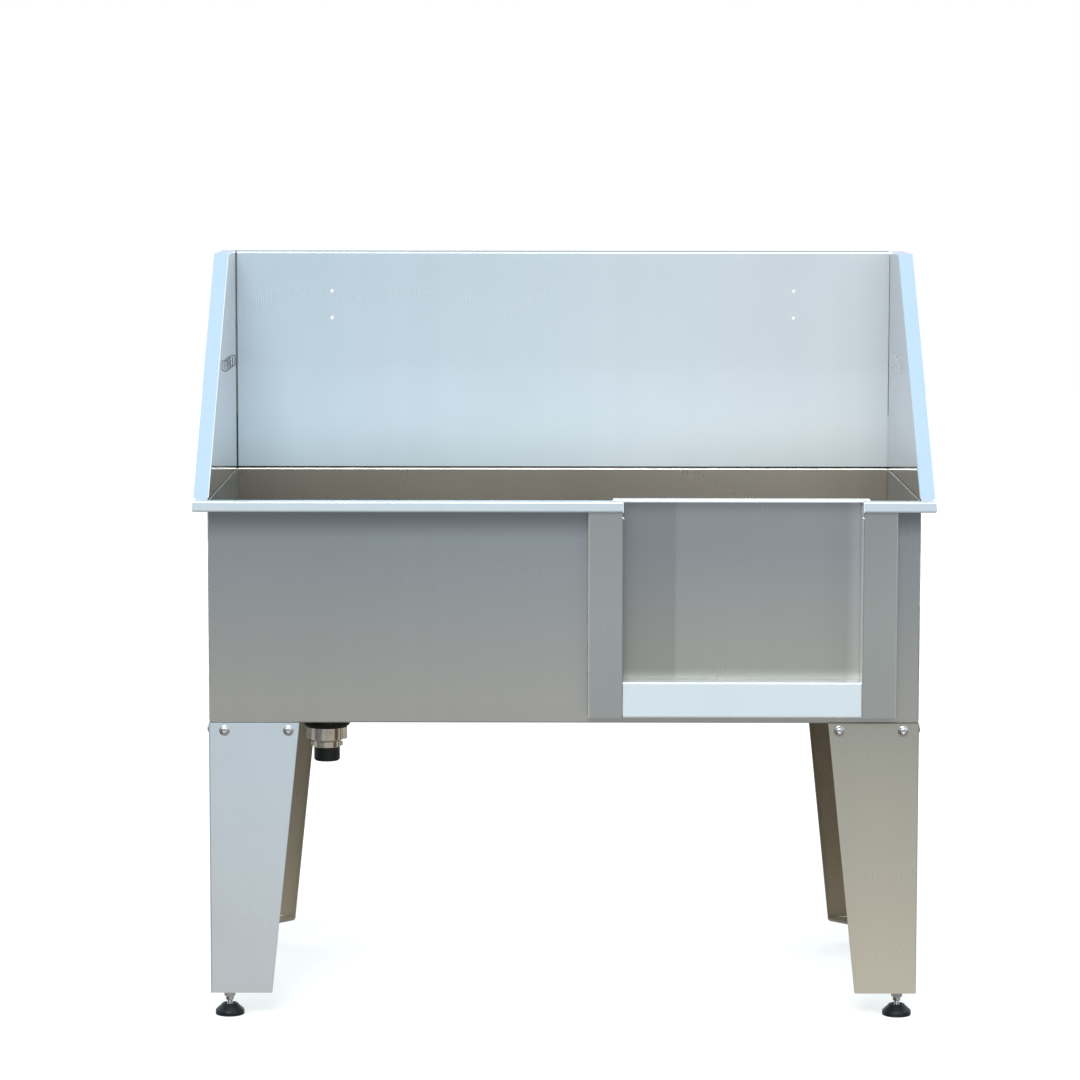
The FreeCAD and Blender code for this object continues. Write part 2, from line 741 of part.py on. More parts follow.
def drain_strainer():
    """Loose perforated strainer plate with a lifting knob."""
    seat = well_z + drain_flange_height - 1.5 + door_gap
    top = seat + strainer_sheet
    plate = turned([
        (0, seat), (strainer_radius, seat), (strainer_radius, top - 0.4), (strainer_radius - 0.4, top),
        (3.5, top), (3.5, top + 3), (6, top + 5), (6, top + 8), (4.5, top + 9.5), (0, top + 9.5)])
    holes = []
    for ring_radius, count, radius in strainer_holes:
        for step in range(count):
            angle = 2 * math.pi * step / count
            x = ring_radius * math.cos(angle)
            y = ring_radius * math.sin(angle)
            holes.append(cylinder_z(radius, seat - 1, top + 1, x, y))
    return at_drain(plate.cut(holes))


# ---- write the nodes ----------------------------------------------------------------------------
os.makedirs("parts", exist_ok=True)

save("front_wall", front_wall())
save("rear_wall", turned_wall(body_length, half_depth, 180))
save("left_wall", turned_wall(body_depth, half_length, -90))
save("right_wall", turned_wall(body_depth, half_length, 90))
save("rim_end_caps", rim_end_caps())
save("floor_pan", floor_pan())
save("cross_rail_left", cross_rail(rail_xs[0]))
save("cross_rail_right", cross_rail(rail_xs[1]))

save("splash_back", splash_back())
left_splash = splash_left()
save("splash_left", left_splash)
save("splash_right", flip_x(left_splash))
left_loops = tether_loops()
save("tether_loops_left", left_loops)
save("tether_loops_right", flip_x(left_loops))

left_channel = door_channel()
save("door_channel_left", left_channel)
save("door_channel_right", flip_x(left_channel, door_centre))
save("door_sill", door_sill())
save("door_seal", door_seal())
left_guide = door_guide()
save("door_guide_left", left_guide)
save("door_guide_right", flip_x(left_guide, door_centre))
save("door_guide_bottom", door_guide_bottom())
save("door_panel", door_panel())
save("door_lip", door_lip())

corner_pieces = {
    "leg": leg(),
    "leg_bracket": leg_bracket(),
    "leg_screws": leg_screws(),
    "leg_nuts": leg_nuts(),
    "foot_plate": foot_plate_piece(),
    "foot_stud": foot_stud(),
    "foot_pad": foot_pad(),
}
shared_pieces = {
    "foot_weld_nuts": foot_weld_nut(),
    "foot_washers": foot_washer(),
    "foot_locknuts": foot_locknut(),
}


def at_corner(shape, corner):
    """Moves a front left piece to another corner by mirroring."""
    if corner.endswith("right"):
        shape = flip_x(shape)
    if corner.startswith("rear"):
        shape = flip_y(shape)
    return shape


corners = ("front_left", "front_right", "rear_left", "rear_right")
for piece_name, piece_shape in corner_pieces.items():
    for corner_name in corners:
        save(piece_name + "_" + corner_name, at_corner(piece_shape, corner_name))
for piece_name, piece_shape in shared_pieces.items():
    save(piece_name, Part.makeCompound([at_corner(piece_shape, corner_name) for corner_name in corners]))

save("drain_body", drain_body())
save("drain_gasket", drain_gasket())
save("drain_locknut", drain_locknut())
save("drain_collar", drain_collar())
save("drain_tailpiece", drain_tailpiece())
save("drain_strainer", drain_strainer())
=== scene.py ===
import math
import random

import bmesh
import bpy
from mathutils import Matrix, Vector


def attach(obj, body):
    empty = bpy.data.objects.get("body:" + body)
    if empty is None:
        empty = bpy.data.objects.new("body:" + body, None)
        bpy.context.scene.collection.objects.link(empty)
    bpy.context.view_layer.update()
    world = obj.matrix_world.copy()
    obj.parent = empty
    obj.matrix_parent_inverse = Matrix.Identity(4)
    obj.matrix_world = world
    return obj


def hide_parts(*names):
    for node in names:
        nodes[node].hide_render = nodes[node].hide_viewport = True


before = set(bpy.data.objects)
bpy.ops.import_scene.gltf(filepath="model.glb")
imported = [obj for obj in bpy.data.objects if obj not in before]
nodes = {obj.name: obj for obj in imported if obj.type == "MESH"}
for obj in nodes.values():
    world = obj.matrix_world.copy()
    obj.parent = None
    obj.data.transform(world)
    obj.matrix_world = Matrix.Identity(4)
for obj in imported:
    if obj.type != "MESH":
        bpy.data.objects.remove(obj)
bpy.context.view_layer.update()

random.seed(7)

CORNERS = ("front_left", "front_right", "rear_left", "rear_right")


# ---- material helpers ---------------------------------------------------------------------
class Tree:
    """A material's node tree, with short calls for the nodes used here."""

    def __init__(self, name):
        self.material = bpy.data.materials.new(name)
        self.material.use_nodes = True
        self.tree = self.material.node_tree
        self.shader = self.tree.nodes["Principled BSDF"]
        self.place = self.node("ShaderNodeTexCoord").outputs["Object"]

    def node(self, kind, **settings):
        made = self.tree.nodes.new(kind)
        for key, value in settings.items():
            setattr(made, key, value)
        return made

    def feed(self, socket, value):
        if isinstance(value, bpy.types.NodeSocket):
            self.tree.links.new(value, socket)
        else:
            socket.default_value = value

    def noise(self, scale, detail=3.0, rough=0.5, stretch=(1, 1, 1), offset=(0, 0, 0)):
        mapping = self.node("ShaderNodeMapping")
        mapping.inputs["Scale"].default_value = stretch
        mapping.inputs["Location"].default_value = offset
        self.feed(mapping.inputs["Vector"], self.place)
        texture = self.node("ShaderNodeTexNoise")
        self.feed(texture.inputs["Vector"], mapping.outputs["Vector"])
        texture.inputs["Scale"].default_value = scale
        texture.inputs["Detail"].default_value = detail
        texture.inputs["Roughness"].default_value = rough
        return texture.outputs["Fac"]

    def specks(self, scale, radius, offset=(0, 0, 0)):
        """Round dots, full at their middle and gone at radius."""
        mapping = self.node("ShaderNodeMapping")
        mapping.inputs["Location"].default_value = offset
        self.feed(mapping.inputs["Vector"], self.place)
        texture = self.node("ShaderNodeTexVoronoi")
        self.feed(texture.inputs["Vector"], mapping.outputs["Vector"])
        texture.inputs["Scale"].default_value = scale
        return self.ranged(texture.outputs["Distance"], 0.0, radius, 1.0, 0.0)

    def ranged(self, value, low, high, to_low, to_high):
        """The value's span from low to high, mapped to to_low and to_high and held there outside it."""
        made = self.node("ShaderNodeMapRange")
        made.clamp = True
        limits = {"From Min": low, "From Max": high, "To Min": to_low, "To Max": to_high}
        for key, number in limits.items():
            made.inputs[key].default_value = number
        self.feed(made.inputs["Value"], value)
        return made.outputs["Result"]

    def math(self, operation, a, b):
        made = self.node("ShaderNodeMath", operation=operation)
        self.feed(made.inputs[0], a)
        self.feed(made.inputs[1], b)
        return made.outputs[0]

    def mix(self, factor, a, b, blend="MIX"):
        made = self.node("ShaderNodeMix", data_type="RGBA", blend_type=blend)
        self.feed(made.inputs[0], factor)
        self.feed(made.inputs[6], a)
        self.feed(made.inputs[7], b)
        return made.outputs[2]

    def axis(self, index):
        split = self.node("ShaderNodeSeparateXYZ")
        self.feed(split.inputs[0], self.place)
        return split.outputs[index]

    def bump(self, height, distance, strength=1.0):
        made = self.node("ShaderNodeBump")
        made.inputs["Distance"].default_value = distance
        made.inputs["Strength"].default_value = strength
        self.feed(made.inputs["Height"], height)
        return made.outputs["Normal"]


def rgba(colour):
    return (colour[0], colour[1], colour[2], 1.0)


def grain_scale(axis, lengthwise, crosswise):
    """Noise scale for marks that run along an axis, so that they are long one way and narrow the others."""
    return tuple(lengthwise if name == axis else crosswise for name in "xyz")


SMUDGE = 0.05
DUST = 0.30
SHEET_WAVE = 0.0006
STAIN_TONE = (0.20, 0.18, 0.15, 1)
DUST_TONE = (0.85, 0.86, 0.86, 1)


def steel(name, tint, rough=0.27, grain="z", seed=0.0, zones=(), metallic=0.72):
    """Brushed stainless sheet. Each zone is a tone followed by its limits (axis, start, end).

    A tone that is a colour replaces the tint where the zone is full; a number darkens or lightens it.
    """
    t = Tree(name)
    shift = (seed, seed * 1.7, seed * 0.6)
    streak = t.noise(1.0, 4.0, 0.6, grain_scale(grain, 7, 900), shift)
    band = t.noise(1.0, 2.0, 0.5, grain_scale(grain, 0.6, 26), shift)
    cloud = t.noise(2.2, 1.0, 0.4, offset=shift)
    stain = t.noise(5.0, 2.5, 0.5, offset=shift)
    base = rgba(tint)
    # Most zones are painted light, shade and reflections; the plain zones give bare steel.
    for tone, *limits in zones:
        cover = 1.0
        for index, start, end in limits:
            part = t.ranged(t.axis(index), start, end, 0.0, 1.0)
            cover = part if cover == 1.0 else t.math("MULTIPLY", cover, part)
        if isinstance(tone, tuple):
            base = t.mix(cover, base, rgba(tone))
        else:
            base = t.mix(cover, base, (tone, tone, tone, 1), "MULTIPLY")
    base = t.mix(t.ranged(streak, 0.32, 0.68, 0.008, 0.0), base, (0, 0, 0, 1))
    base = t.mix(t.ranged(band, 0.35, 0.65, 0.02, 0.0), base, (0.1, 0.1, 0.1, 1))
    base = t.mix(t.ranged(stain, 0.52, 0.78, 0.0, SMUDGE), base, STAIN_TONE)
    dust = t.specks(42.0, 0.030, shift)
    base = t.mix(t.math("MULTIPLY", dust, DUST), base, DUST_TONE)
    t.feed(t.shader.inputs["Base Color"], base)
    uneven = t.math("ADD", t.ranged(cloud, 0.3, 0.7, rough - 0.03, rough + 0.03),
                    t.ranged(streak, 0.3, 0.7, -0.002, 0.002))
    t.feed(t.shader.inputs["Roughness"], uneven)
    t.shader.inputs["Metallic"].default_value = metallic
    t.feed(t.shader.inputs["Normal"], t.bump(cloud, SHEET_WAVE))
    return t.material


def weld_metal(name, tint):
    """Weld metal: rippled, a little heat-stained."""
    t = Tree(name)
    ripple = t.noise(260.0, 3.0, 0.6)
    heat = t.noise(38.0, 3.0, 0.5)
    base = t.mix(t.ranged(heat, 0.4, 0.65, 0.0, 0.7), rgba(tint), (0.36, 0.30, 0.22, 1))
    dark = t.specks(300.0, 0.12)
    base = t.mix(t.math("MULTIPLY", dark, 0.7), base, (0.03, 0.03, 0.03, 1))
    t.feed(t.shader.inputs["Base Color"], base)
    t.feed(t.shader.inputs["Roughness"], t.ranged(ripple, 0.3, 0.7, 0.26, 0.5))
    t.shader.inputs["Metallic"].default_value = 0.9
    t.feed(t.shader.inputs["Normal"], t.bump(ripple, 0.0006, 0.8))
    return t.material


def fastener_metal(name, tint, rough=0.24):
    """Plain bright hardware with tool marks and a little grime."""
    t = Tree(name)
    fine = t.noise(400.0, 2.0, 0.5)
    grime = t.noise(40.0, 3.0, 0.55)
    base = t.mix(t.ranged(grime, 0.5, 0.8, 0.0, 0.25), rgba(tint), (0.12, 0.10, 0.08, 1))
    t.feed(t.shader.inputs["Base Color"], base)
    t.feed(t.shader.inputs["Roughness"], t.ranged(grime, 0.3, 0.7, rough - 0.03, rough + 0.06))
    t.shader.inputs["Metallic"].default_value = 0.95
    t.feed(t.shader.inputs["Normal"], t.bump(fine, 0.000008, 0.5))
    return t.material


def black_part(name, tint, rough, gloss=0.3):
    """Black rubber or moulded plastic with a fine texture and dust."""
    t = Tree(name)
    fine = t.noise(900.0, 2.0, 0.6)
    dust = t.noise(60.0, 4.0, 0.62)
    base = t.mix(t.ranged(dust, 0.5, 0.78, 0.0, 0.12), rgba(tint), (0.16, 0.15, 0.14, 1))
    t.feed(t.shader.inputs["Base Color"], base)
    t.feed(t.shader.inputs["Roughness"], t.ranged(dust, 0.3, 0.75, rough - 0.06, rough + 0.14))
    t.shader.inputs["Specular IOR Level"].default_value = gloss
    t.feed(t.shader.inputs["Normal"], t.bump(fine, 0.00008, 0.5))
    return t.material


def put(material, *names):
    for name in names:
        mesh = nodes[name].data
        mesh.materials.clear()
        mesh.materials.append(material)


SHARP_EDGE = math.radians(32)


def smooth(mesh):
    """Smooth shading, with the edges of folds and cuts kept sharp."""
    for face in mesh.polygons:
        face.use_smooth = True
    mesh.set_sharp_from_angle(angle=SHARP_EDGE)


for cad_node in nodes.values():
    smooth(cad_node.data)

# ---- sheet metal finishes, with painted light, shade and reflections ------------------------
# dimensions that the finishes and painted light are placed by
HALF_LENGTH, HALF_DEPTH = 0.610, 0.305
SHEET = 0.0015
RIM_BOTTOM_Z, RIM_Z, SPLASH_TOP_Z = 0.8845, 0.903, 1.308
DOOR_LEFT, DOOR_RIGHT, CHANNEL_WIDTH = 0.101, 0.510, 0.060

# the rim's colour is a painted sky reflection
RIM_SKY_REFLECTION = (0.64, 0.69, 0.74)
# painted sky reflection on the splash flanges
SKY_REFLECTION_STRIP = (0.605, 0.715, 0.89)
PLAIN = (0.46, 0.47, 0.48)
# dark lines in grooves and the left rear corner: painted shadows
PAINTED_SHADOW_LINE = (0.05, 0.05, 0.055)
# bright lines on bends, folds and the right rear corner: painted highlights
PAINTED_HIGHLIGHT_LINE = (0.90, 0.93, 0.96)


def past(axis, place, way, blur=0.0006):
    """A zone limit that comes on across place, towards the side that way (-1 or 1) points to."""
    return (axis, place - way * blur / 2, place + way * blur / 2)


def rim_reflection_zone(axis, way):
    """Painted sky reflection on the rim only, which lies outside the wall's face."""
    wall_face = HALF_LENGTH if axis == 0 else HALF_DEPTH
    outside = past(axis, way * (wall_face + 0.00085), way, 0.0007)
    return (RIM_SKY_REFLECTION, past(2, RIM_BOTTOM_Z - 0.0002, 1, 0.001), outside)


# painted highlight along the walls' top bend at the rim
TOP_EDGE_HIGHLIGHT = (PAINTED_HIGHLIGHT_LINE, past(2, RIM_Z - 0.0025, 1))
# painted shadow in the groove at the splash panels' foot, on the rim
FOOT_GAP_SHADOW = (PAINTED_SHADOW_LINE, past(2, RIM_Z + 0.0031, -1))


def wall_finishes_and_painted_light():
    # painted light on the front wall: warmer and lighter towards the foot, lighter over the right half, a
    # painted shadow band under the rim, painted shade right of the right channel, and the rim's painted sky
    # reflection
    front = (((0.42, 0.405, 0.38), (2, 0.84, 0.56)), (1.08, (0, -0.40, 0.0)), (0.66, (2, 0.838, 0.864)),
             (0.90, past(0, DOOR_RIGHT + CHANNEL_WIDTH + SHEET, 1)), rim_reflection_zone(1, -1))
    put(steel("front_sheet", (0.295, 0.315, 0.335), seed=1.0, zones=front), "front_wall")
    put(steel("rim_cap_sheet", (0.92, 0.94, 0.96), 0.22, seed=2.0), "rim_end_caps")
    side_tint = (0.46, 0.47, 0.48)
    put(steel("side_sheet", side_tint, seed=3.0, zones=(rim_reflection_zone(0, -1), TOP_EDGE_HIGHLIGHT)), "left_wall")
    put(steel("side_sheet_right", side_tint, seed=4.0, zones=(rim_reflection_zone(0, 1), TOP_EDGE_HIGHLIGHT)), "right_wall")
    # the rear wall's inside carries a painted brown reflection and is painted lighter towards the right; its
    # outside is plain steel
    outside = (PLAIN, past(1, HALF_DEPTH - 0.0005, 1))
    rear = ((1.40, (0, 0.05, 0.45)), TOP_EDGE_HIGHLIGHT, outside, rim_reflection_zone(1, 1))
    put(steel("rear_sheet", (0.43, 0.375, 0.315), seed=5.0, zones=rear), "rear_wall")
    put(steel("pan_sheet", (0.52, 0.49, 0.44), grain="x", seed=6.0), "floor_pan")
    put(steel("rail_sheet", (0.55, 0.55, 0.54), grain="y", seed=7.0), "cross_rail_left", "cross_rail_right")


def splash_finishes_and_painted_light():
    """The left rear corner carries a painted shadow line and the right one a painted highlight line."""
    corner_x = HALF_LENGTH - 0.0032
    # the back splash's blue tint is a painted sky reflection, lighter towards the right; painted shade
    # darkens its top, painted light lifts its foot, a painted dark band lies on its top flange, and painted
    # shadow and highlight lines mark its rear corners
    back = (((0.84, 0.88, 0.92), (0, -0.50, 0.50)), (0.87, (2, 1.08, 1.27)), (1.26, (2, 1.10, 0.93)),
            ((0.18, 0.22, 0.28), past(2, SPLASH_TOP_Z - 0.0011, 1)),
            (PAINTED_SHADOW_LINE, past(0, -corner_x, -1, 0.0008)), (PAINTED_HIGHLIGHT_LINE, past(0, corner_x, 1, 0.0008)), FOOT_GAP_SHADOW)
    put(steel("splash_sheet", (0.66, 0.77, 0.86), 0.25, seed=8.0, metallic=0.5, zones=back), "splash_back")
    # the side splashes are a lit and a shaded copy: the left one painted near white, the right one darker;
    # their flanges carry a painted sky reflection
    for side, way, tint, corner_line_paint in (("left", -1, (0.98, 0.93, 0.91), PAINTED_SHADOW_LINE),
                                  ("right", 1, (0.56, 0.59, 0.64), PAINTED_HIGHLIGHT_LINE)):
        flange_sky_reflection = (SKY_REFLECTION_STRIP, past(0, way * (HALF_LENGTH + 0.0001), way))
        corner = (corner_line_paint, past(1, HALF_DEPTH - 0.0034, 1, 0.0008), (2, 1.30, 1.28))
        put(steel("splash_side_" + side, tint, 0.09, seed=9.5 + way / 2, metallic=0.80,
                  zones=(corner, FOOT_GAP_SHADOW, flange_sky_reflection)), "splash_" + side)


def doorway_finishes_and_painted_light():
    # both channels are painted darker towards the rim as shade under it; painted highlights run along their
    # outer folds and the right channel's inner edge
    left = ((0.90, (2, 0.70, 0.86)), (PAINTED_HIGHLIGHT_LINE, past(0, DOOR_LEFT - CHANNEL_WIDTH + 0.0022, -1, 0.0004)))
    put(steel("channel_sheet", (0.395, 0.40, 0.395), seed=11.0, zones=left), "door_channel_left")
    right = ((0.86, (2, 0.70, 0.86)), ((0.95, 0.97, 1.0), past(0, DOOR_RIGHT + 0.0013, -1)),
             ((0.60, 0.60, 0.58), past(0, DOOR_RIGHT + CHANNEL_WIDTH - 0.0022, 1, 0.0004)))
    put(steel("channel_sheet_right", (0.395, 0.40, 0.39), seed=12.0, zones=right), "door_channel_right")
    # the sill's pale blue tint is a painted sky reflection
    put(steel("sill_sheet", (0.775, 0.825, 0.855), 0.24, grain="x", seed=13.0), "door_sill")
    put(steel("guide_sheet", (0.50, 0.50, 0.48), seed=14.0),
        "door_guide_left", "door_guide_right", "door_guide_bottom")
    # painted light on the door: warmer and lighter towards the foot, a painted shade band along its left
    # side, a painted warm glow beside the right jamb, and lighter still at the foot
    door = (((0.455, 0.437, 0.40), (2, 0.82, 0.60)), (0.85, (0, 0.194, 0.190)), (1.45, (0, 0.486, 0.509)),
            (1.10, (2, 0.612, 0.594)))
    put(steel("door_sheet", (0.325, 0.34, 0.355), seed=15.0, zones=door), "door_panel")
    # the lip's pale tint is a painted sky highlight; its front part is painted darker as shade
    lip = ((0.62, (1, -0.2990, -0.3000)),)
    put(steel("lip_sheet", (0.88, 0.91, 0.94), 0.22, grain="x", seed=15.5, zones=lip), "door_lip")


def leg_finishes_and_painted_reflections():
    """Each leg's tone is a painted reflection that runs from its top to its foot. The rear legs' outer faces
    are plain.
    """
    # painted reflections: bluish sky on the front left leg, warm browns on the others
    tops = {"front_left": (0.665, 0.73, 0.79), "front_right": (0.42, 0.405, 0.35),
            "rear_left": (0.26, 0.21, 0.15), "rear_right": (0.17, 0.13, 0.09)}
    feet = {"front_left": (0.69, 0.71, 0.73), "front_right": (0.68, 0.61, 0.50),
            "rear_left": (0.46, 0.39, 0.29), "rear_right": (0.32, 0.26, 0.18)}
    leg_gap = 0.0009
    for index, corner in enumerate(CORNERS):
        zones = [(feet[corner], (2, 0.50, 0.06))]
        if corner.startswith("rear"):
            way = -1 if corner.endswith("left") else 1
            zones.append((PLAIN, past(1, HALF_DEPTH + leg_gap, 1)))
            zones.append((PLAIN, past(0, way * (HALF_LENGTH + leg_gap), way)))
        put(steel("leg_sheet_" + corner, tops[corner], seed=16.0 + index, zones=zones), "leg_" + corner)
        put(steel("bracket_sheet_" + corner, (0.50, 0.48, 0.45), grain="x", seed=20.0 + index),
            "leg_bracket_" + corner)
        put(steel("plate_sheet_" + corner, (0.50, 0.46, 0.40), 0.32, grain="x", seed=24.0 + index),
            "foot_plate_" + corner)


wall_finishes_and_painted_light()
splash_finishes_and_painted_light()
doorway_finishes_and_painted_light()
leg_finishes_and_painted_reflections()

# ---- fittings ---------------------------------------------------------------------------------
bolt_metal = fastener_metal("bolt_metal", (0.72, 0.72, 0.72), 0.16)
nut_metal = fastener_metal("nut_metal", (0.60, 0.58, 0.55), 0.30)
drain_metal = fastener_metal("drain_metal", (0.76, 0.67, 0.57), 0.09)
gasket_rubber = black_part("gasket_rubber", (0.006, 0.006, 0.006), 0.60, gloss=0.2)
tail_plastic = black_part("tail_plastic", (0.008, 0.008, 0.008), 0.40)
pad_plastic = black_part("pad_plastic", (0.010, 0.011, 0.014), 0.34)
seal_rubber = black_part("seal_rubber", (0.02, 0.02, 0.02), 0.6)
for corner in CORNERS:
    put(nut_metal, "leg_nuts_" + corner)
put(nut_metal, "foot_weld_nuts", "foot_washers", "foot_locknuts")
put(drain_metal, "drain_body", "drain_locknut", "drain_collar", "drain_strainer")
put(gasket_rubber, "drain_gasket")
put(tail_plastic, "drain_tailpiece")
put(seal_rubber, "door_seal")
# the left loops are painted dark as shade and the right ones near white as highlight: a shaded and a lit copy
# of the same metal
put(fastener_metal("loop_metal_shaded_left", (0.24, 0.24, 0.25), 0.22), "tether_loops_left")
put(fastener_metal("loop_metal_highlit_right", (0.95, 0.96, 0.96), 0.30), "tether_loops_right")

# ---- shapes built here ------------------------------------------------------------------------
def as_piece(name, mesh_builder, material, body, stands_for=()):
    """A piece made from a bmesh, riding a CAD body and standing for the CAD nodes named."""
    mesh = bpy.data.meshes.new(name)
    mesh_builder.normal_update()
    mesh_builder.to_mesh(mesh)
    mesh_builder.free()
    smooth(mesh)
    piece = bpy.data.objects.new(name, mesh)
    bpy.context.scene.collection.objects.link(piece)
    mesh.materials.append(material)
    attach(piece, body)
    if stands_for:
        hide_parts(*stands_for)
    return piece


def angles(segments):
    return [2 * math.pi * k / segments for k in range(segments)]


def ring(bm, place, radii, z):
    """Evenly spaced corners about place's Z axis, each at its own radius."""
    corners = []
    for angle, radius in zip(angles(len(radii)), radii):
        point = Vector((radius * math.cos(angle), radius * math.sin(angle), z))
        corners.append(bm.verts.new(place @ point))
    return corners


def bridge(bm, lower, upper):
    """Faces between two rings with the same number of corners."""
    count = len(lower)
    for i in range(count):
        bm.faces.new((lower[i], lower[(i + 1) % count], upper[(i + 1) % count], upper[i]))


def skin(bm, rings, closed=True):
    """Faces along a stack of rings. The first ring is always filled, the last one if closed."""
    for lower, upper in zip(rings, rings[1:]):
        bridge(bm, lower, upper)
    bm.faces.new(list(reversed(rings[0])))
    if closed:
        bm.faces.new(rings[-1])


def lathe(bm, place, profile, segments):
    """Turned shape about place's Z axis, through (radius, z) points from one end to the other."""
    skin(bm, [ring(bm, place, [radius] * segments, z) for radius, z in profile])


def thread(bm, place, z0, z1, crest, root, pitch, segments=36):
    """Threaded rod with a real helix, its ends faded to the root."""
    rings_per_turn = 6
    flank_slope = 3.4
    flank_peak = 1.35  # above 1, so the crest has a flat
    rows = int((z1 - z0) / pitch * rings_per_turn)
    rings = []
    for row in range(rows + 1):
        z = z0 + (z1 - z0) * row / rows
        fade = min(1.0, (z - z0) / pitch, (z1 - z) / pitch)
        radii = []
        for k in range(segments):
            phase = (z / pitch - k / segments) % 1.0
            height = max(0.0, min(1.0, flank_peak - abs(phase - 0.5) * flank_slope))
            radii.append(root + (crest - root) * height * fade)
        rings.append(ring(bm, place, radii, z))
    skin(bm, rings)


def hex_radius(angle, across_flats, turn):
    """Distance from a hexagon's centre to its side in the direction of angle."""
    part = (angle - turn) % (math.pi / 3) - math.pi / 6
    return across_flats / 2 / math.cos(part)


def hex_lathe(bm, place, profile, across_flats, turn):
    """Hexagon bar whose section is limited at each height to a radius, which makes the chamfers."""
    sides = [hex_radius(angle, across_flats, turn) for angle in angles(72)]
    skin(bm, [ring(bm, place, [min(limit, side) for side in sides], z) for limit, z in profile])


def socket_head(bm, place, turn):
    """Flanged button head: seat at z = 0, dome towards +Z, with a hexagon socket."""
    dome = ((0.0045, 0.0), (0.0088, 0.0), (0.0090, 0.0002), (0.0090, 0.0008), (0.0086, 0.0011),
            (0.0076, 0.0013), (0.0074, 0.0016), (0.0071, 0.0023), (0.0064, 0.0031), (0.0054, 0.0038),
            (0.0044, 0.0042), (0.0036, 0.0043))
    socket = ((0.0054, 0.0042), (0.0050, 0.0039), (0.0050, 0.0014))  # across flats, z
    socket_tip_z = 0.0009
    segments = 48
    rings = [ring(bm, place, [radius] * segments, z) for radius, z in dome]
    for across_flats, z in socket:
        radii = [hex_radius(angle, across_flats, turn) for angle in angles(segments)]
        rings.append(ring(bm, place, radii, z))
    skin(bm, rings, closed=False)
    tip = bm.verts.new(place @ Vector((0, 0, socket_tip_z)))
    last = rings[-1]
    for k in range(segments):
        bm.faces.new((last[k], last[(k + 1) % segments], tip))


def bead(bm, points, radius, ripple=0.0022):
    """Weld bead along a line of points, rippled and a little uneven."""
    line = [Vector(point) for point in points]
    sides = 8
    swell = 0.13
    previous = None
    travelled = 0.0
    for start, end in zip(line, line[1:]):
        along = (end - start).normalized()
        across = along.orthogonal().normalized()
        other = along.cross(across)
        length = (end - start).length
        steps = max(2, int(length / (ripple / 2)))
        for step in range(steps + 1):
            place = start.lerp(end, step / steps)
            wave = 1.0 + swell * math.sin(2 * math.pi * (travelled + length * step / steps) / ripple)
            size = radius * wave * random.uniform(0.90, 1.06)
            edge = min(1.0, (step + 1) / 4, (steps - step + 1) / 4)
            loop = []
            for angle in angles(sides):
                outward = across * math.cos(angle) + other * math.sin(angle)
                loop.append(bm.verts.new(place + outward * size * edge))
            if previous is not None and step > 0:
                bridge(bm, previous, loop)
            if step == 0:
                bm.faces.new(list(reversed(loop)))
            previous = loop
        bm.faces.new(previous)
        travelled += length


def facing(centre, normal):
    """Matrix that puts z = 0 at centre and turns +Z towards normal."""
    turn = Vector(normal).to_track_quat("Z", "Y").to_matrix().to_4x4()
    return Matrix.Translation(centre) @ turn


def blob(bm, centre, radius, height, normal):
    """Low dome of weld metal on a face whose outward direction is normal."""
    sunk = -0.0003
    dome = ((0.97, 0.30), (0.75, 0.75), (0.40, 0.97), (0.08, 1.00))  # fractions of radius and height
    profile = [(radius * random.uniform(0.97, 1.05), sunk)]
    for across, up in dome:
        profile.append((radius * across, height * up))
    lathe(bm, facing(centre, normal), profile, segments=16)


def mirror_point(point, corner):
    """A front left point moved to another corner."""
    x = -point[0] if corner.endswith("right") else point[0]
    y = -point[1] if corner.startswith("rear") else point[1]
    return (x, y, point[2])


# ---- levelling feet -----------------------------------------------------------------------------
FOOT_X, FOOT_Y = -0.581, -0.276
STUD_CREST, STUD_ROOT, STUD_PITCH = 0.0050, 0.0044, 0.0015
HEX_FLATS, HEX_TURN = 0.013, math.radians(20)
# (radius, z) points from the floor up
STUD_HEX = ((0.0056, 0.0250), (0.0066, 0.0256), (0.0075, 0.0270), (0.0075, 0.0297),
            (0.0066, 0.0304), (0.0056, 0.0305))
PAD = ((0.0225, 0.0004), (0.0242, 0.0), (0.0250, 0.0008), (0.0250, 0.0030), (0.0246, 0.0034),
       (0.0246, 0.0039), (0.0250, 0.0043), (0.0250, 0.0070), (0.0246, 0.0082), (0.0238, 0.0092),
       (0.0150, 0.0172), (0.0140, 0.0184), (0.0134, 0.0192), (0.0126, 0.0195), (0.0098, 0.0195),
       (0.0088, 0.0190), (0.0082, 0.0172), (0.0060, 0.0166), (0.00525, 0.0166), (0.00515, 0.0090))
for corner in CORNERS:
    place = Matrix.Translation(mirror_point((FOOT_X, FOOT_Y, 0), corner))
    stud = bmesh.new()
    thread(stud, place, 0.0092, 0.0252, STUD_CREST, STUD_ROOT, STUD_PITCH)
    hex_lathe(stud, place, STUD_HEX, HEX_FLATS, HEX_TURN)
    thread(stud, place, 0.0303, 0.0948, STUD_CREST, STUD_ROOT, STUD_PITCH)
    stud_node = "foot_stud_" + corner
    as_piece("threaded_stud_" + corner, stud, bolt_metal, stud_node, (stud_node,))
    pad = bmesh.new()
    lathe(pad, place, PAD, segments=72)
    pad_node = "foot_pad_" + corner
    as_piece("levelling_pad_" + corner, pad, pad_plastic, pad_node, (pad_node,))

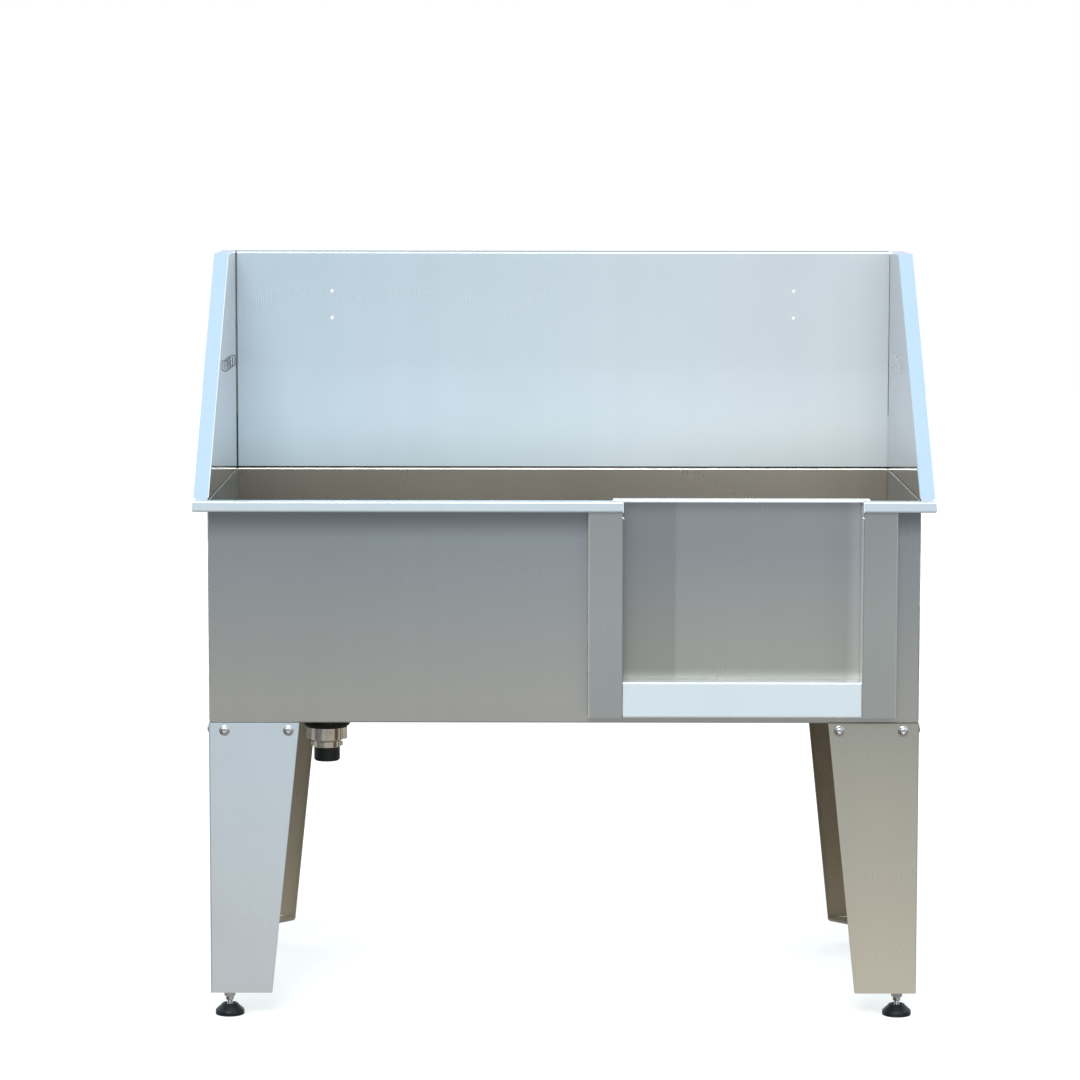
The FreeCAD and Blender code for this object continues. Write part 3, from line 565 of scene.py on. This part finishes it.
# ---- leg screws -----------------------------------------------------------------------------------
LEG_X, LEG_Y, SCREW_Z = -0.6115, -0.3065, 0.5045
SCREW_INSETS = (0.0275, 0.1375)
SCREW_CREST, SCREW_ROOT, SCREW_PITCH = 0.0040, 0.0035, 0.00125
for corner in CORNERS:
    screws = bmesh.new()
    for inset in SCREW_INSETS:
        on_front = ((LEG_X + inset, LEG_Y, SCREW_Z), (0, -1, 0))
        on_side = ((LEG_X, LEG_Y + inset, SCREW_Z), (-1, 0, 0))
        for spot, outward in (on_front, on_side):
            place = facing(mirror_point(spot, corner), mirror_point(outward, corner))
            socket_head(screws, place, random.uniform(0, 1))
            thread(screws, place, -0.0164, 0.0002, SCREW_CREST, SCREW_ROOT, SCREW_PITCH, segments=24)
    screw_node = "leg_screws_" + corner
    as_piece("button_screws_" + corner, screws, bolt_metal, "tub", (screw_node,))

# ---- welds ------------------------------------------------------------------------------------------
bright_weld = weld_metal("bright_weld", (0.72, 0.72, 0.70))
dull_weld = weld_metal("dull_weld", (0.45, 0.42, 0.36))
OUTER_X, OUTER_Y = 0.6094, 0.3044
INNER_X, INNER_Y = 0.6084, 0.3034
PAN_EDGE_Y, PAN_Z = 0.3030, 0.5290
SEAM_FOOT_Z = 0.5300

corner_welds = bmesh.new()
for corner in CORNERS:
    ends = [mirror_point((-OUTER_X, -OUTER_Y, z), corner) for z in (0.5212, 0.8840)]
    bead(corner_welds, ends, 0.0011)
as_piece("corner_welds", corner_welds, bright_weld, "tub")

seams = bmesh.new()
bead(seams, [(-0.6086, 0.3036, 0.9024), (0.6086, 0.3036, 0.9024)], 0.0007, 0.006)
for side in (-1, 1):
    inner_x = side * INNER_X
    rim_x = side * 0.6086
    pan_x = side * 0.6078
    pan_y = side * PAN_EDGE_Y
    bead(seams, [(rim_x, -0.3020, 0.9022), (rim_x, 0.3030, 0.9022)], 0.0007, 0.006)
    bead(seams, [(inner_x, INNER_Y, SEAM_FOOT_Z), (inner_x, INNER_Y, 0.9020)], 0.0009, 0.004)
    bead(seams, [(inner_x, -INNER_Y, SEAM_FOOT_Z), (inner_x, -INNER_Y, 0.8980)], 0.0009, 0.004)
    bead(seams, [(inner_x, INNER_Y, 1.0000), (inner_x, INNER_Y, 1.3040)], 0.0007, 0.006)
    bead(seams, [(pan_x, -PAN_EDGE_Y, PAN_Z), (pan_x, PAN_EDGE_Y, PAN_Z)], 0.0012, 0.004)
    bead(seams, [(-0.6080, pan_y, PAN_Z), (0.6080, pan_y, PAN_Z)], 0.0012, 0.004)
as_piece("basin_seams", seams, dull_weld, "tub")

CHANNEL_TACK_Y, CHANNEL_BEAD_Y = -0.3066, -0.3054
GUIDE_TACK_Y, GUIDE_TACK_Z = -0.3232, 0.8735
PLATE_TACK_Z, PLATE_BEAD_Z = 0.0482, 0.0484
PLATE_TACKS = ((-0.5950, -0.2855), (-0.5720, -0.2630), (-0.5660, -0.2850), (-0.5950, -0.2640))
PLATE_BEADS = (((-OUTER_X, -0.2900), (-OUTER_X, -0.2200)), ((-0.5950, -OUTER_Y), (-0.5250, -OUTER_Y)))
LOOP_OFFSETS = (0.105, 0.155, 0.205, 0.255)
LOOP_TACK_X, LOOP_TACK_ZS = 0.6085, (1.0998, 1.1202)

tacks = bmesh.new()
for x, outward in ((0.0410, -1), (0.5700, 1)):
    for z in (0.607, 0.706, 0.822):
        centre = (x, CHANNEL_TACK_Y, z + random.uniform(-0.002, 0.002))
        blob(tacks, centre, 0.0022, 0.0014, (outward, -0.8, 0))
    edge_x = x + outward * 0.0002
    bead(tacks, [(edge_x, CHANNEL_BEAD_Y, 0.531), (edge_x, CHANNEL_BEAD_Y, 0.883)], 0.0008, 0.009)
for x, lean in ((0.1004, 0.0005), (0.5106, -0.0005)):
    blob(tacks, (x, GUIDE_TACK_Y, GUIDE_TACK_Z), 0.0024, 0.0008, (0, -1, 0))
    bead(tacks, [(x, -0.3229, 0.5310), (x + lean, -0.3195, 0.5895)], 0.0006, 0.005)
for corner in CORNERS:
    for x, y in PLATE_TACKS:
        blob(tacks, mirror_point((x, y, PLATE_TACK_Z), corner), 0.0020, 0.0022, (0, 0, 1))
    for ends in PLATE_BEADS:
        bead(tacks, [mirror_point((x, y, PLATE_BEAD_Z), corner) for x, y in ends], 0.0013)
for side in (-1, 1):
    for offset in LOOP_OFFSETS:
        for z in LOOP_TACK_ZS:
            blob(tacks, (side * LOOP_TACK_X, HALF_DEPTH - offset, z), 0.0022, 0.0010, (-side, 0, 0))
as_piece("tack_welds", tacks, bright_weld, "tub")

RAIL_XS, RAIL_FLANGE_X, SPOT_Y, SPOT_Z = (0.240, 0.410), 0.0305, 0.288, 0.5165
spots = bmesh.new()
for x in RAIL_XS:
    for side in (-1, 1):
        for y in (-SPOT_Y, SPOT_Y):
            for step in (-0.008, 0.008):
                centre = (x + side * RAIL_FLANGE_X + step, y, SPOT_Z)
                blob(spots, centre, 0.0020, 0.0004, (0, 0, -1))
as_piece("spot_welds", spots, dull_weld, "tub")

# ---- stage, light and camera ------------------------------------------------------------------
bpy.ops.mesh.primitive_plane_add(size=30, location=(0, 0, 0))
floor = bpy.context.object
floor.name = "floor"
floor_tree = Tree("floor_paper")
floor_tone = floor_tree.ranged(floor_tree.noise(1.5, 2.0), 0.3, 0.7, 0.0, 1.0)
floor_tree.feed(floor_tree.shader.inputs["Base Color"],
                floor_tree.mix(floor_tone, (0.60, 0.60, 0.60, 1), (0.63, 0.63, 0.63, 1)))
floor_tree.shader.inputs["Roughness"].default_value = 0.9
floor_tree.shader.inputs["Emission Color"].default_value = (1, 1, 1, 1)
floor_tree.shader.inputs["Emission Strength"].default_value = 0.55
floor_tree.shader.inputs["Specular IOR Level"].default_value = 0.0
floor.data.materials.append(floor_tree.material)
floor.visible_glossy = False

world = bpy.data.worlds.new("studio")
bpy.context.scene.world = world
world.use_nodes = True
wt = world.node_tree
background = wt.nodes["Background"]
direction = wt.nodes.new("ShaderNodeTexCoord")
split = wt.nodes.new("ShaderNodeSeparateXYZ")
wt.links.new(direction.outputs["Generated"], split.inputs[0])


def sky_range(axis, start, end, low, high):
    """A number that runs from low to high as the direction's axis value runs from start to end."""
    made = wt.nodes.new("ShaderNodeMapRange")
    limits = {"From Min": start, "From Max": end, "To Min": low, "To Max": high}
    for key, number in limits.items():
        made.inputs[key].default_value = number
    wt.links.new(split.outputs[axis], made.inputs["Value"])
    return made.outputs["Result"]


def sky_mix(factor, a, b, blend="MIX"):
    made = wt.nodes.new("ShaderNodeMix")
    made.data_type = "RGBA"
    made.blend_type = blend
    for socket, value in ((made.inputs[0], factor), (made.inputs[6], a), (made.inputs[7], b)):
        if isinstance(value, bpy.types.NodeSocket):
            wt.links.new(value, socket)
        else:
            socket.default_value = value
    return made.outputs[2]


def product(a, b):
    made = wt.nodes.new("ShaderNodeMath")
    made.operation = "MULTIPLY"
    wt.links.new(a, made.inputs[0])
    wt.links.new(b, made.inputs[1])
    return made.outputs[0]


ramp = wt.nodes.new("ShaderNodeValToRGB")
wt.links.new(sky_range("Z", -1.0, 1.0, 0.0, 1.0), ramp.inputs["Fac"])
SKY = ((-1.0, (0.20, 0.18, 0.155)), (-0.25, (0.32, 0.31, 0.29)), (-0.06, (0.50, 0.54, 0.58)),
       (0.03, (0.66, 0.74, 0.82)), (0.25, (0.80, 0.95, 1.0)), (1.0, (0.82, 0.97, 1.0)))
while len(ramp.color_ramp.elements) < len(SKY):
    ramp.color_ramp.elements.new(0.5)
for element, (z, colour) in zip(ramp.color_ramp.elements, SKY):
    element.position = (z + 1) / 2
    element.color = rgba(colour)
sky = ramp.outputs["Color"]
# dark uprights of the studio, which give polished round parts their dark bars
UPRIGHTS = ((-0.34, -0.44), (0.80, 0.88))
UPRIGHT_TONE = (0.20, 0.15, 0.12, 1)
for start, end in UPRIGHTS:
    upright = product(sky_range("X", start, end, 0.0, 1.0), sky_range("Y", 0.05, -0.05, 0.0, 1.0))
    upright = product(upright, sky_range("Z", 0.45, 0.25, 0.0, 1.0))
    sky = sky_mix(upright, sky, UPRIGHT_TONE, "MULTIPLY")
BACKDROP = (0.91, 0.91, 0.91, 1.0)
seen = wt.nodes.new("ShaderNodeLightPath")
backdrop = sky_mix(seen.outputs["Is Camera Ray"], sky, BACKDROP)
wt.links.new(backdrop, background.inputs["Color"])
background.inputs["Strength"].default_value = 1.1

SUN_DIRECTION = Vector((0.12, 1.0, -0.8))
sun = bpy.data.objects.new("key_light", bpy.data.lights.new("key_light", "SUN"))
sun.data.energy = 1.7
sun.data.angle = math.radians(28)
sun.data.color = (1.0, 0.98, 0.94)
sun.rotation_euler = SUN_DIRECTION.to_track_quat("-Z", "Y").to_euler()
bpy.context.scene.collection.objects.link(sun)

CAMERA_PLACE = (-0.0371, -6.5846, 1.5334)
CAMERA_LENS = 123.07
TURN, DOWN, ROLL = 0.0007, 0.1108, 0.0012
camera_data = bpy.data.cameras.new("camera")
camera = bpy.data.objects.new("camera", camera_data)
bpy.context.scene.collection.objects.link(camera)
camera_data.lens = CAMERA_LENS
camera_data.sensor_width = 36.0
camera_data.sensor_fit = "HORIZONTAL"
camera_data.clip_end = 100
camera.location = CAMERA_PLACE
turned = Matrix.Rotation(TURN, 4, "Z")
tilted = Matrix.Rotation(math.pi / 2 - DOWN, 4, "X")
rolled = Matrix.Rotation(ROLL, 4, "Z")
camera.rotation_euler = (turned @ tilted @ rolled).to_euler()
bpy.context.scene.camera = camera
bpy.context.scene.view_settings.view_transform = "Standard"
